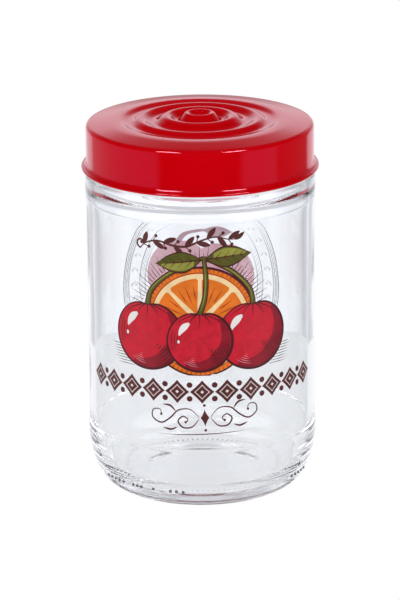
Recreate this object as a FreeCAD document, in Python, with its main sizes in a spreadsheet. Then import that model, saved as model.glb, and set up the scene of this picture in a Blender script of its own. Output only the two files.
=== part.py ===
"""Glass storage jar with a press-and-turn lid.

Two pieces on one upright axis: a pressed glass jar with a panel for its label, a large heel and
a necked finish with four thread lugs, and a thin plastic lid whose rippled top steps up to a
central boss.  Millimetres, +Z up, origin at the middle of the foot.
"""
import FreeCAD, Part

import math
import os
import re

import Sketcher

doc = FreeCAD.newDocument("StorageJar")

# ---------------------------------------------------------------- driving dimensions
sheet = doc.addObject("Spreadsheet::Sheet", "Sizes")

DIMENSIONS = [
    # the glass, outside
    ("panel_dia", 88.0),        # the straight panel that carries the print
    ("panel_low", 26.8),        # height of the panel's lower edge
    ("panel_drop", 27.7),       # from the rim down to the panel's upper edge
    ("ring_proud", 0.35),       # base band and shoulder ring stand out of the panel by this
    ("ring_step", 1.0),         # height of the sloped step from ring to panel
    ("heel_height", 23.1),      # height at which the heel starts to turn in
    ("heel_radius", 40.0),      # long upper arc of the heel
    ("heel_corner", 11.6),      # short lower arc, down to the foot
    ("foot_width", 2.6),        # flat ring that the jar stands on
    ("pushup_depth", 1.8),      # the bottom is hollowed inside the foot ring
    ("pushup_blend", 15.0),     # width over which it rises to that depth
    ("shoulder_drop", 20.3),    # from the rim down to where the shoulder turns in
    ("shoulder_radius", 3.2),
    ("rim_height", 143.5),      # height of the glass rim
    ("rim_round", 0.9),
    ("neck_dia", 81.2),         # neck under the lid, outside
    # the glass, inside
    ("panel_wall", 2.6),
    ("neck_wall", 2.5),
    ("floor_thick", 5.0),       # glass above the deepest part of the push-up
    ("inner_heel_radius", 38.0),
    ("inner_heel_corner", 10.0),
    ("inner_shoulder_drop", 27.5),  # from the rim down to where the inside starts to close in
    ("bore_length", 17.5),      # straight bore below the rim
    # thread lugs on the neck
    ("lug_count", 4),
    ("lug_angle", 48.0),
    ("lug_proud", 1.15),
    ("lug_drop", 10.5),         # from the rim down to the lugs' underside
    ("lug_thick", 1.8),
    # the lid
    ("skirt_clearance", 0.85),  # between the lugs' tips and the inside of the skirt
    ("skirt_wall", 1.3),
    ("skirt_drop", 16.2),       # the lid's lower edge lies this far below the glass rim
    ("top_wall", 1.3),          # thickness where the lid sits on the rim
    ("edge_round", 3.0),        # rounding between skirt and top
    ("inner_round", 1.7),       # rounding inside that corner
    ("lip_proud", 1.9),         # the flared lip stands out of the skirt by this
    ("lip_thick", 1.1),
    ("flare_radius", 1.7),
    # ripples of the top: radii of crests and troughs, and their rise above the edge
    ("crest_first", 12.6),
    ("crest_pitch", 10.1),
    ("crest_rise_first", 2.75),
    ("crest_rise_second", 1.65),
    ("crest_rise_third", 0.75),
    ("trough_lead", 4.9),       # a trough lies this far inside the next crest
    ("trough_rise", 0.45),
    ("well_radius", 9.3),       # bottom of the well round the boss
    ("well_rise", 0.65),
    ("boss_radius", 5.0),       # crest of the boss
    ("boss_rise", 3.8),
    ("dimple_radius", 2.2),
    ("dimple_rise", 2.3),
    # the lid's underside
    ("seat_overlap", 1.6),      # the seat on the rim runs this far in past the bore
    ("hollow_depth", 0.45),
    ("boss_hollow_radius", 3.4),
    ("boss_hollow_depth", 1.5),
    # fit of the lid on the neck
    ("grip_angle", 26.0),       # lugs inside the skirt, one under each lug of the neck
    ("grip_thick", 1.8),
    ("grip_gap", 0.3),          # between a grip and the lug above it
    ("neck_clearance", 0.4),    # between a grip and the neck
]

for row, (alias, value) in enumerate(DIMENSIONS, start=1):
    sheet.set("A%d" % row, alias)
    sheet.set("B%d" % row, repr(value))
    sheet.setAlias("B%d" % row, alias)
doc.recompute()


ALIASES = {alias for alias, value in DIMENSIONS}


def sizes(expression):
    """The expression with each dimension's alias written as a reference to the sheet."""
    def reference(word):
        return "Sizes." + word.group() if word.group() in ALIASES else word.group()
    return re.sub("[a-z_]+", reference, expression)


def number(expression):
    """Value of an expression at the sheet's present sizes."""
    return float(sheet.evalExpression(sizes(expression)))


# ---------------------------------------------------------------- sketching
class Profile:
    """Half section (distance from the axis, height) of lines and arcs, closed at the end.

    Every corner and radius is an expression in the sheet's words, and each becomes a
    constraint of the sketch that is bound to that expression.
    """

    def __init__(self, r, z):
        self.points = [(r, z)]
        self.edges = []

    def line(self, r, z):
        self.points.append((r, z))
        self.edges.append(None)
        return self

    def arc(self, r, z, radius, turn):
        """Arc of under half a turn to (r, z); turn is +1 to the left, -1 to the right."""
        self.points.append((r, z))
        self.edges.append((radius, turn))
        return self

    def wave(self, r, z):
        """S curve of two equal arcs, level at both ends."""
        r_from, z_from = self.points[-1]
        run = "(%s - (%s))" % (r, r_from)
        rise = "(%s - (%s))" % (z, z_from)
        radius = "((%s)^2 + (%s)^2) / (4 * abs(%s))" % (run, rise, rise)
        middle = ("(%s + %s) / 2" % (r, r_from), "(%s + %s) / 2" % (z, z_from))
        turn = 1 if number(run) * number(rise) > 0 else -1
        self.arc(middle[0], middle[1], radius, turn)
        return self.arc(r, z, radius, -turn)

    def draw(self, sketch):
        corners = [FreeCAD.Vector(number(r), number(z), 0) for r, z in self.points]
        self.edges.append(None)
        count = len(corners)
        for i, edge in enumerate(self.edges):
            start, end = corners[i], corners[(i + 1) % count]
            if edge is None:
                sketch.addGeometry(Part.LineSegment(start, end), False)
                continue
            sketch.addGeometry(arc_between(start, end, number(edge[0]), edge[1]), False)
        ends = []
        for edge in self.edges:
            ends.append((2, 1) if edge is not None and edge[1] < 0 else (1, 2))
        for i in range(count):
            following = (i + 1) % count
            sketch.addConstraint(Sketcher.Constraint(
                "Coincident", i, ends[i][1], following, ends[following][0]))
        for i, (r, z) in enumerate(self.points):
            pin(sketch, "DistanceX", i, ends[i][0], r, corners[i].x)
            pin(sketch, "DistanceY", i, ends[i][0], z, corners[i].y)
        for i, edge in enumerate(self.edges):
            if edge is not None:
                index = sketch.addConstraint(
                    Sketcher.Constraint("Radius", i, number(edge[0])))
                sketch.setExpression("Constraints[%d]" % index, sizes(edge[0]))


def arc_between(start, end, radius, turn):
    """Arc of the given radius from start to end, run counter-clockwise as a sketch needs it."""
    chord = end - start
    reach = math.sqrt(max(radius ** 2 - (chord.Length / 2) ** 2, 0.0))
    side = FreeCAD.Vector(-chord.y, chord.x, 0).normalize() * (reach * turn)
    centre = start + chord * 0.5 + side
    circle = Part.Circle(centre, FreeCAD.Vector(0, 0, 1), radius)
    first = math.atan2(start.y - centre.y, start.x - centre.x)
    last = math.atan2(end.y - centre.y, end.x - centre.x)
    if turn < 0:
        first, last = last, first
    return Part.ArcOfCircle(circle, first, last)


def pin(sketch, kind, edge, vertex, expression, value):
    """Hold one coordinate of a corner; a corner on the axis is tied to the axis itself."""
    if expression == "0":
        line = -2 if kind == "DistanceX" else -1
        sketch.addConstraint(Sketcher.Constraint("PointOnObject", edge, vertex, line))
        return
    index = sketch.addConstraint(
        Sketcher.Constraint(kind, -1, 1, edge, vertex, value))
    sketch.setExpression("Constraints[%d]" % index, sizes(expression))


def origin_plane(body, role):
    return next(item for item in body.Origin.OriginFeatures if item.Role == role)


def half_section(body, name, profile):
    sketch = body.newObject("Sketcher::SketchObject", name)
    sketch.AttachmentSupport = [(origin_plane(body, "XZ_Plane"), "")]
    sketch.MapMode = "FlatFace"
    doc.recompute()
    profile.draw(sketch)
    doc.recompute()
    return sketch


def turned(body, kind, name, profile, angle=None, middle=False):
    """Revolution or groove of a half section round the body's axis."""
    sketch = half_section(body, name + "Section", profile)
    feature = body.newObject("PartDesign::" + kind, name)
    feature.Profile = sketch
    feature.ReferenceAxis = (sketch, ["V_Axis"])
    feature.Angle = 360.0
    if angle is not None:
        feature.setExpression("Angle", sizes(angle))
    feature.Midplane = middle
    sketch.Visibility = False
    doc.recompute()
    return feature


def repeated_round(body, name, feature, count):
    """Copies of a feature round the upright axis; the body then ends in the pattern."""
    pattern = body.newObject("PartDesign::PolarPattern", name)
    pattern.Originals = [feature]
    pattern.Axis = (origin_plane(body, "Z_Axis"), [""])
    pattern.Angle = 360
    pattern.setExpression("Occurrences", sizes(count))
    body.Tip = pattern
    doc.recompute()
    return pattern


def new_body(label):
    body = doc.addObject("PartDesign::Body", label + "_body")
    body.Label = label
    return body


# ---------------------------------------------------------------- shared places
PANEL = "panel_dia / 2"
RING = "(panel_dia / 2 + ring_proud)"
NECK = "neck_dia / 2"
BORE = "(neck_dia / 2 - neck_wall)"
PANEL_HIGH = "(rim_height - panel_drop)"
SHOULDER = "(rim_height - shoulder_drop)"
LUG_LOW = "(rim_height - lug_drop)"
LUG_TIP = "(neck_dia / 2 + lug_proud)"
SKIRT_INSIDE = "(%s + skirt_clearance)" % LUG_TIP
SKIRT = "(%s + skirt_wall)" % SKIRT_INSIDE
HOLLOW = "(%s - seat_overlap)" % BORE
LID_LOW = "(rim_height - skirt_drop)"
LID_EDGE = "(rim_height + top_wall)"


def two_arc_corner(wall, bottom, height, long_radius, short_radius):
    """Corner of two tangent arcs between an upright wall and a level floor.

    Returns the place where the floor ends, the place where the arcs meet and the wall's end.
    """
    spread = "(%s - %s)" % (long_radius, short_radius)
    drop = "(%s - %s - %s)" % (height, bottom, short_radius)
    across = "sqrt(%s^2 - %s^2)" % (spread, drop)
    centre = "(%s - %s)" % (wall, long_radius)
    floor_end = ("(%s + %s)" % (centre, across), bottom)
    meet = ("(%s + %s * %s / %s)" % (centre, long_radius, across, spread),
            "(%s - %s * %s / %s)" % (height, long_radius, drop, spread))
    return floor_end, meet, (wall, height)


# ---------------------------------------------------------------- the jar
def make_jar():
    body = new_body("jar")
    foot, heel_meet, heel_top = two_arc_corner(
        RING, "0", "heel_height", "heel_radius", "heel_corner")
    inner_wall = "(panel_dia / 2 - panel_wall)"
    floor = "(pushup_depth + floor_thick)"
    inner_heel_height = "(heel_height + panel_wall)"
    floor_end, inner_meet, inner_top = two_arc_corner(
        inner_wall, floor, inner_heel_height, "inner_heel_radius", "inner_heel_corner")
    foot_inside = "(%s - foot_width)" % foot[0]
    shoulder_end = "(%s - shoulder_radius)" % RING
    shoulder_top = "(%s + shoulder_radius)" % SHOULDER

    shell = Profile("0", "pushup_depth")
    shell.line("(%s - pushup_blend)" % foot_inside, "pushup_depth")
    shell.wave(foot_inside, "0")
    shell.line(*foot)
    shell.arc(*heel_meet, "heel_corner", 1)
    shell.arc(*heel_top, "heel_radius", 1)
    shell.line(RING, "(panel_low - ring_step)")
    shell.line(PANEL, "panel_low")
    shell.line(PANEL, PANEL_HIGH)
    shell.line(RING, "(%s + ring_step)" % PANEL_HIGH)
    shell.line(RING, SHOULDER)
    shell.arc(shoulder_end, shoulder_top, "shoulder_radius", 1)
    shell.line(NECK, shoulder_top)
    shell.line(NECK, "(rim_height - rim_round)")
    shell.arc("(%s - rim_round)" % NECK, "rim_height", "rim_round", 1)
    shell.line("(%s + rim_round)" % BORE, "rim_height")
    shell.arc(BORE, "(rim_height - rim_round)", "rim_round", 1)
    shell.line(BORE, "(rim_height - bore_length)")
    shell.line(inner_wall, "(rim_height - inner_shoulder_drop)")
    shell.line(*inner_top)
    shell.arc(*inner_meet, "inner_heel_radius", -1)
    shell.arc(*floor_end, "inner_heel_corner", -1)
    shell.line("0", floor)
    turned(body, "Revolution", "Shell", shell)

    # Four short thread lugs round the neck; each starts a little inside the glass.
    lug_root = "(neck_dia / 2 - neck_wall / 2)"
    lug = Profile(lug_root, LUG_LOW)
    lug.line(LUG_TIP, LUG_LOW)
    lug.line(LUG_TIP, "(%s + lug_thick / 2)" % LUG_LOW)
    lug.line(lug_root, "(%s + lug_thick)" % LUG_LOW)
    first = turned(body, "Revolution", "Lug", lug, angle="lug_angle", middle=True)
    repeated_round(body, "Lugs", first, "lug_count")
    return body


# ---------------------------------------------------------------- the lid
def make_lid():
    body = new_body("lid")
    lip = "(%s + lip_proud)" % SKIRT
    lip_top = "(%s + lip_thick)" % LID_LOW
    crests = ["(crest_first + %d * crest_pitch)" % step for step in range(3)]
    crest_rises = ["crest_rise_first", "crest_rise_second", "crest_rise_third"]

    cap = Profile("0", "(%s + dimple_rise)" % LID_EDGE)
    cap.line("dimple_radius", "(%s + dimple_rise)" % LID_EDGE)
    cap.wave("boss_radius", "(%s + boss_rise)" % LID_EDGE)
    cap.wave("well_radius", "(%s + well_rise)" % LID_EDGE)
    for step, (crest, rise) in enumerate(zip(crests, crest_rises)):
        if step > 0:
            cap.wave("(%s - trough_lead)" % crest, "(%s + trough_rise)" % LID_EDGE)
        cap.wave(crest, "(%s + %s)" % (LID_EDGE, rise))
    cap.wave("(%s - edge_round)" % SKIRT, LID_EDGE)
    cap.arc(SKIRT, "(%s - edge_round)" % LID_EDGE, "edge_round", -1)
    cap.line(SKIRT, "(%s + flare_radius)" % lip_top)
    cap.arc("(%s + flare_radius)" % SKIRT, lip_top, "flare_radius", 1)
    cap.line("(%s - lip_thick / 2)" % lip, lip_top)
    cap.arc(lip, "(%s - lip_thick / 2)" % lip_top, "lip_thick / 2", -1)
    cap.arc("(%s - lip_thick / 2)" % lip, LID_LOW, "lip_thick / 2", -1)
    cap.line(SKIRT_INSIDE, LID_LOW)
    cap.line(SKIRT_INSIDE, "(rim_height - inner_round)")
    cap.arc("(%s - inner_round)" % SKIRT_INSIDE, "rim_height", "inner_round", 1)
    cap.line(HOLLOW, "rim_height")
    cap.line(HOLLOW, "(rim_height + hollow_depth)")
    cap.line("boss_hollow_radius", "(rim_height + hollow_depth)")
    cap.line("boss_hollow_radius", "(rim_height + hollow_depth + boss_hollow_depth)")
    cap.line("0", "(rim_height + hollow_depth + boss_hollow_depth)")
    turned(body, "Revolution", "Cap", cap)

    # One grip under each lug of the neck, clear of the neck and of the lug.
    grip_tip = "(neck_dia / 2 + neck_clearance)"
    grip_root = "(%s + skirt_wall / 2)" % SKIRT_INSIDE
    grip_top = "(%s - grip_gap)" % LUG_LOW
    grip_low = "(%s - grip_thick)" % grip_top
    grip = Profile(grip_tip, "(%s + grip_thick / 2)" % grip_low)
    grip.line(grip_root, grip_low)
    grip.line(grip_root, grip_top)
    grip.line(grip_tip, grip_top)
    first = turned(body, "Revolution", "Grip", grip, angle="grip_angle", middle=True)
    repeated_round(body, "Grips", first, "lug_count")
    return body


# ---------------------------------------------------------------- build, check, write
bodies = [make_jar(), make_lid()]
doc.recompute()

for item in doc.Objects:
    if {"Invalid", "Error"} & set(item.State):
        raise RuntimeError("%s failed: %s" % (item.Name, item.State))

os.makedirs("parts", exist_ok=True)
for body in bodies:
    shape = body.Shape
    if shape.isNull() or not shape.isValid() or len(shape.Solids) != 1:
        raise RuntimeError("%s is not one valid solid" % body.Label)
for body in bodies:
    shape = body.Shape
    box = shape.optimalBoundingBox(False, False)
    print("%-4s volume %.1f cm3, box %.2f x %.2f x %.2f mm, from z %.2f to %.2f" % (
        body.Label, shape.Volume / 1000, box.XLength, box.YLength, box.ZLength,
        box.ZMin, box.ZMax))
    shape.exportStep("parts/%s.step" % body.Label)
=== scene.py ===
# %% [markdown]
# # A glass storage jar with a red lid
#
# The jar is made in four lessons: the pressed glass, the moulded lid, the print fired onto the
# glass, and the white studio that it stands in.  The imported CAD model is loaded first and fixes
# every size; what follows gives each piece its true surface.

# %% Load the frame
import math
import random

import bpy
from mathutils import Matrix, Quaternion, Vector


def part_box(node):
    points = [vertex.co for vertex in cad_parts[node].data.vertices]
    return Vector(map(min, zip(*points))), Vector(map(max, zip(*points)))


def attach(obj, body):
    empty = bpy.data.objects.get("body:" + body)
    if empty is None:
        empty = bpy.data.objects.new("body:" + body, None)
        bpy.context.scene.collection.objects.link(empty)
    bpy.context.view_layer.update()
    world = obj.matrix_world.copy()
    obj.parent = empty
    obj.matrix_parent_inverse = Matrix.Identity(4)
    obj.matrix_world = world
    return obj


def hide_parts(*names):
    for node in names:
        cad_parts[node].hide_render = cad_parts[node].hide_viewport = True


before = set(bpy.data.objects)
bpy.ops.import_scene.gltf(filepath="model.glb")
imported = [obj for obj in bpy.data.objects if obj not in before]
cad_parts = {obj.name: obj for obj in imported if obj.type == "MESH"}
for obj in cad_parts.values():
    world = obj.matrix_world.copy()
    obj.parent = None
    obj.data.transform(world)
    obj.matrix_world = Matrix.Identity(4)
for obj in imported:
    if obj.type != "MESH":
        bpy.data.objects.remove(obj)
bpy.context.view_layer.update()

# %% [markdown]
# ## Working sizes
#
# Everything is in metres.  Heights hang from the glass rim and the foot, as in the CAD part, so
# the rim and the lid's edge are read from the frame and the rest are the part's own sizes.

# %% Sizes of the glass and the lid
MM = 0.001
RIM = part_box("jar")[1].z
RING_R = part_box("jar")[1].x
LID_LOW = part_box("lid")[0].z
LIP_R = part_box("lid")[1].x

PANEL_R = RING_R - 0.35 * MM
PANEL_LOW = 26.8 * MM
PANEL_HIGH = RIM - 27.7 * MM
RING_STEP = 1.6 * MM
SHOULDER = RIM - 20.3 * MM
SHOULDER_ROUND = 3.2 * MM
NECK_R = 40.6 * MM
NECK_WALL = 2.5 * MM
NECK_FILLET = 0.55 * MM
NECK_LOW = RIM - 17.5 * MM           # inside, where the neck starts to widen
INNER_SHOULDER = RIM - 27.5 * MM     # inside, where it has reached the panel's wall
RIM_ROUND = 0.9 * MM
HEEL_HEIGHT = 23.1 * MM
HEEL_LONG = 40.0 * MM
HEEL_SHORT = 11.6 * MM
FOOT_WIDTH = 2.6 * MM
PUSHUP = 1.8 * MM
PUSHUP_BLEND = 15.0 * MM
WALL = 2.6 * MM
FLOOR = 6.8 * MM
INNER_LONG = 38.0 * MM
INNER_SHORT = 10.0 * MM

LID_EDGE = RIM + 1.3 * MM
SKIRT_R = LIP_R - 1.9 * MM
SKIRT_WALL = 1.3 * MM
print("rim %.4f, panel radius %.4f, skirt radius %.4f" % (RIM, PANEL_R, SKIRT_R))

# %% [markdown]
# ## Turning a shape on the lathe
#
# Jar and lid are both bodies of revolution.  The quickest way by hand is to draw half of the
# section once, as a row of joined vertices, and spin it round the upright axis.  A small
# `Outline` helper keeps the section readable: it knows lines, arcs and S curves, and puts
# points on them closely enough that nothing looks faceted.

# %% Half sections
class Outline:
    """Points (radius, height) along lines and arcs, at a stated pitch."""

    def __init__(self, r, z):
        self.points = [(r, z)]

    def line(self, r, z, pitch=4 * MM):
        r0, z0 = self.points[-1]
        count = max(1, math.ceil(math.hypot(r - r0, z - z0) / pitch))
        for i in range(1, count + 1):
            self.points.append((r0 + (r - r0) * i / count, z0 + (z - z0) * i / count))

    def arc(self, r, z, radius, turn, pitch=0.5 * MM):
        """Arc of under half a turn; turn is 1 to the left of the path, -1 to the right."""
        r0, z0 = self.points[-1]
        chord = math.hypot(r - r0, z - z0)
        reach = math.sqrt(max(radius ** 2 - chord ** 2 / 4, 0)) * turn
        cr = (r + r0) / 2 - (z - z0) / chord * reach
        cz = (z + z0) / 2 + (r - r0) / chord * reach
        start = math.atan2(z0 - cz, r0 - cr)
        sweep = 2 * math.asin(min(1, chord / 2 / radius)) * turn
        count = max(4, math.ceil(radius * abs(sweep) / pitch))
        for i in range(1, count + 1):
            angle = start + sweep * i / count
            self.points.append((cr + radius * math.cos(angle), cz + radius * math.sin(angle)))
        self.points[-1] = (r, z)

    def slope(self, r, z, radius, pitch=0.25 * MM):
        """Straight flank between two equal roundings that are level at their ends."""
        r0, z0 = self.points[-1]
        run, rise = r - r0, z - z0
        reach = math.hypot(run, abs(rise) - 2 * radius)
        angle = math.asin(2 * radius / reach) + math.atan2(abs(rise) - 2 * radius, run)
        turn = 1 if rise > 0 else -1
        across, up = radius * math.sin(angle), radius * (1 - math.cos(angle)) * turn
        self.arc(r0 + across, z0 + up, radius, turn, pitch)
        self.line(r - across, z - up)
        self.arc(r, z, radius, -turn, pitch)

    def wave(self, r, z, upright=False, pitch=0.4 * MM):
        """S curve of two equal arcs, level at both ends, or upright at both ends."""
        r0, z0 = self.points[-1]
        run, rise = (z - z0, r - r0) if upright else (r - r0, z - z0)
        radius = (run ** 2 + rise ** 2) / 4 / abs(rise)
        turn = 1 if run * rise > 0 else -1
        if upright:
            turn = -turn
        self.arc((r + r0) / 2, (z + z0) / 2, radius, turn, pitch)
        self.arc(r, z, radius, -turn, pitch)


def two_arc_corner(wall, bottom, height, long_radius, short_radius):
    """Where a floor ends, where two tangent arcs meet, and where the wall begins."""
    spread = long_radius - short_radius
    drop = height - bottom - short_radius
    across = math.sqrt(spread ** 2 - drop ** 2)
    meet = (wall - long_radius + long_radius * across / spread,
            height - long_radius * drop / spread)
    return (wall - long_radius + across, bottom), meet, (wall, height)


# %% Spinning a section
def select_none():
    if bpy.context.object and bpy.context.object.mode != "OBJECT":
        bpy.ops.object.mode_set(mode="OBJECT")
    bpy.ops.object.select_all(action="DESELECT")


def select_only(piece):
    select_none()
    piece.select_set(True)
    bpy.context.view_layer.objects.active = piece


def drawn_line(name, points, azimuth=0.0):
    """One vertex, extruded from point to point in an upright plane; left in edit mode."""
    across = Vector((math.cos(azimuth), math.sin(azimuth), 0))
    places = [across * r + Vector((0, 0, z)) for r, z in points]
    select_none()
    bpy.ops.mesh.primitive_plane_add(size=MM)
    piece = bpy.context.object
    piece.name = piece.data.name = name
    bpy.ops.object.mode_set(mode="EDIT")
    bpy.ops.mesh.merge(type="CENTER")
    bpy.ops.transform.translate(value=places[0])
    for start, end in zip(places, places[1:]):
        bpy.ops.mesh.extrude_region_move(TRANSFORM_OT_translate={"value": end - start})
    return piece


def turned(name, points, sectors, azimuth=0.0, capped=False):
    """Spins a section round the axis through (angle, steps) sectors, one after the other.

    An open section fills the circle; a closed one that fills less is capped at both ends.
    """
    piece = drawn_line(name, points, azimuth)
    bpy.ops.mesh.select_all(action="SELECT")
    if capped:
        bpy.ops.mesh.edge_face_add()
    for angle, steps in sectors:
        bpy.ops.mesh.spin(steps=steps, angle=angle, center=(0, 0, 0), axis=(0, 0, 1))
    bpy.ops.mesh.select_all(action="SELECT")
    bpy.ops.mesh.remove_doubles(threshold=0.002 * MM)
    bpy.ops.mesh.normals_make_consistent(inside=False)
    bpy.ops.object.mode_set(mode="OBJECT")
    return piece


def report(piece):
    triangles = sum(len(face.vertices) - 2 for face in piece.data.polygons)
    xs, ys, zs = zip(*(vertex.co for vertex in piece.data.vertices))
    print("%-16s %6d triangles, x %.1f..%.1f, y %.1f..%.1f, z %.1f..%.1f mm" % (
        piece.name, triangles, min(xs) / MM, max(xs) / MM, min(ys) / MM, max(ys) / MM,
        min(zs) / MM, max(zs) / MM))


# %% [markdown]
# ## The glass
#
# A pressed jar has soft edges everywhere: the label panel is let in between a base band and a
# shoulder ring, the heel turns in over a long arc, and the bottom is pushed up inside the foot.
# The wall is solid glass, so its inner skin is part of the same outline.  The panel is drawn
# with closer lines, and its back is spun in finer steps, because a seal is raised on it later.

# %% Jar section
SEAL_Z = 69.5 * MM
SEAL_R = 36.0 * MM
SEAL_PITCH = 0.55 * MM
SEAL_MARGIN = 1.5 * MM
SEAL_ANGLE = 2 * (SEAL_R + SEAL_MARGIN) / PANEL_R

foot, heel_meet, heel_top = two_arc_corner(RING_R, 0, HEEL_HEIGHT, HEEL_LONG, HEEL_SHORT)
inner_wall = PANEL_R - WALL
floor_end, inner_meet, inner_top = two_arc_corner(
    inner_wall, FLOOR, HEEL_HEIGHT + WALL, INNER_LONG, INNER_SHORT)
bore = NECK_R - NECK_WALL

section = Outline(0, PUSHUP)
section.line(foot[0] - FOOT_WIDTH - PUSHUP_BLEND, PUSHUP)
section.wave(foot[0] - FOOT_WIDTH, 0, pitch=0.8 * MM)
section.line(*foot, pitch=1.3 * MM)
section.arc(*heel_meet, HEEL_SHORT, 1, pitch=0.9 * MM)
section.arc(*heel_top, HEEL_LONG, 1, pitch=1.2 * MM)
section.line(RING_R, PANEL_LOW - RING_STEP)
section.wave(PANEL_R, PANEL_LOW, upright=True)
section.line(PANEL_R, SEAL_Z - SEAL_R - MM)
section.line(PANEL_R, SEAL_Z + SEAL_R + MM, pitch=SEAL_PITCH)
section.line(PANEL_R, PANEL_HIGH)
section.wave(RING_R, PANEL_HIGH + RING_STEP, upright=True)
section.line(RING_R, SHOULDER)
section.arc(RING_R - SHOULDER_ROUND, SHOULDER + SHOULDER_ROUND, SHOULDER_ROUND, 1)
section.arc(NECK_R, SHOULDER + SHOULDER_ROUND + NECK_FILLET, NECK_FILLET, -1, pitch=0.2 * MM)
section.line(NECK_R, RIM - RIM_ROUND)
section.arc(NECK_R - RIM_ROUND, RIM, RIM_ROUND, 1, pitch=0.3 * MM)
section.line(bore + RIM_ROUND, RIM)
section.arc(bore, RIM - RIM_ROUND, RIM_ROUND, 1, pitch=0.3 * MM)
section.line(bore, NECK_LOW)
section.wave(inner_wall, INNER_SHOULDER, upright=True, pitch=0.7 * MM)
section.line(*inner_top)
section.arc(*inner_meet, INNER_LONG, -1, pitch=1.2 * MM)
section.arc(*floor_end, INNER_SHORT, -1, pitch=0.8 * MM)
section.line(0, FLOOR)
print("jar section has", len(section.points), "points")

# %% Spin the glass
BACK = math.pi / 2
BACK_STEPS = round(SEAL_ANGLE * PANEL_R / SEAL_PITCH)
FRONT_STEPS = 140
jar_glass = turned("jar_glass", section.points,
                   [(SEAL_ANGLE, BACK_STEPS), (2 * math.pi - SEAL_ANGLE, FRONT_STEPS)],
                   azimuth=BACK + SEAL_ANGLE / 2)
report(jar_glass)

# %% [markdown]
# ## The raised seal on the back
#
# Preserve jars carry a round seal moulded into the glass: two fine double rings with a row of
# marks between them.  Here the marks are plain beads.  A vertex group says how far each point
# of the panel stands out, and a Displace modifier raises it, which keeps one closed skin and
# gives the rounded edges of hot glass.

# %% Raise the seal
def bump(distance, width):
    """1 at the middle of a ridge of that width, falling smoothly to 0 at its edges."""
    share = abs(distance) / (width / 2)
    return 0.0 if share >= 1 else (1 + math.cos(math.pi * share)) / 2


SEAL_RINGS = [SEAL_R, 34.2 * MM, 27.0 * MM, 25.4 * MM]
RIDGE = 1.5 * MM
BEAD_R = 30.6 * MM
BEAD_COUNT = 32
BEAD_WIDTH, BEAD_HEIGHT = 3.4 * MM, 5.0 * MM
SEAL_RISE = 0.55 * MM
ON_PANEL = 0.05 * MM                 # how close to the panel's radius a point counts as on it


def seal_weight(across, up):
    """How far the seal stands out at a place on the panel, from 0 to 1."""
    radius = math.hypot(across, up)
    rings = max(bump(radius - ring, RIDGE) for ring in SEAL_RINGS)
    turn = math.atan2(up, across) / (2 * math.pi) * BEAD_COUNT
    along = (turn - round(turn)) / BEAD_COUNT * 2 * math.pi * radius
    oval = math.hypot(along / BEAD_WIDTH, (radius - BEAD_R) / BEAD_HEIGHT)
    return max(rings, bump(oval, 1.0))


seal = jar_glass.vertex_groups.new(name="seal")
raised = 0
for vertex in jar_glass.data.vertices:
    x, y, z = vertex.co
    if y > 0 and abs(math.hypot(x, y) - PANEL_R) < ON_PANEL:
        weight = seal_weight(PANEL_R * math.atan2(x, y), z - SEAL_Z)
        if weight > 0:
            seal.add([vertex.index], weight, "REPLACE")
            raised += 1
print("seal raises", raised, "points by up to", SEAL_RISE / MM, "mm")

select_only(jar_glass)
lift = jar_glass.modifiers.new("Seal", "DISPLACE")
lift.vertex_group = "seal"
lift.mid_level = 0
lift.strength = SEAL_RISE
bpy.ops.object.modifier_apply(modifier=lift.name)
bpy.ops.object.shade_smooth()

# %% [markdown]
# ## Mould marks of the glass
#
# Groups of small raised dots stand on the heel, left by the mould, and short ribs lie round the
# foot so that it doesn't slide on the hot conveyor.  One dot and one rib are modelled, then
# copied round the axis.

# %% Dots and ribs
HEEL_DOT_Z = 8.4 * MM
DOT_AZIMUTHS = [-61.5, -58, -54.3, -51, -47.7, -40.4, -37.7, -35, -27.5, -17.6, -14.3, -10.6,
                56, 59.5, 63, 67, 71]   # degrees from the front, to the right
DOT_SIZE = 1.25 * MM
DOT_HEIGHT = 0.45 * MM


def heel_radius(z):
    return RING_R - HEEL_LONG + math.sqrt(HEEL_LONG ** 2 - (HEEL_HEIGHT - z) ** 2)


def copied_round(piece, angles):
    """Joined copies of an object, turned to each angle about the upright axis."""
    select_only(piece)
    bpy.ops.object.transform_apply()
    copies = []
    for angle in angles:
        select_only(piece)
        bpy.ops.object.duplicate()
        copy = bpy.context.object
        copy.rotation_euler = (0, 0, angle)
        copies.append(copy)
    select_none()
    for copy in copies:
        copy.select_set(True)
    bpy.context.view_layer.objects.active = copies[0]
    bpy.ops.object.transform_apply()
    bpy.ops.object.join()
    name = piece.name
    joined = bpy.context.object
    bpy.data.objects.remove(piece)
    joined.name = joined.data.name = name
    return joined


def round_marks(name, radius, z, size, mesh, tilt, angles):
    """Small oval marks of one size on a circle round the axis."""
    select_none()
    bpy.ops.mesh.primitive_uv_sphere_add(segments=mesh[0], ring_count=mesh[1], radius=0.5,
                                         location=(0, -radius, z), rotation=(tilt, 0, 0),
                                         scale=size)
    bpy.context.object.name = name
    marks = copied_round(bpy.context.object, angles)
    bpy.ops.object.shade_smooth()
    report(marks)
    return marks


dot_r = heel_radius(HEEL_DOT_Z)
slope = math.atan2(HEEL_HEIGHT - HEEL_DOT_Z, dot_r - RING_R + HEEL_LONG)
heel_dots = round_marks("heel_dots", dot_r, HEEL_DOT_Z, (DOT_SIZE, 2 * DOT_HEIGHT, DOT_SIZE),
                        (12, 8), -slope, [math.radians(azimuth) for azimuth in DOT_AZIMUTHS])

RIB_COUNT = 96
RIB_OUTWARD, RIB_Z = 1.4 * MM, 0.35 * MM
RIB_SIZE = (0.8 * MM, 3.2 * MM, 0.6 * MM)
foot_ribs = round_marks("foot_ribs", foot[0] + RIB_OUTWARD, RIB_Z, RIB_SIZE, (10, 6), 0,
                        [2 * math.pi * i / RIB_COUNT for i in range(RIB_COUNT)])

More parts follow.
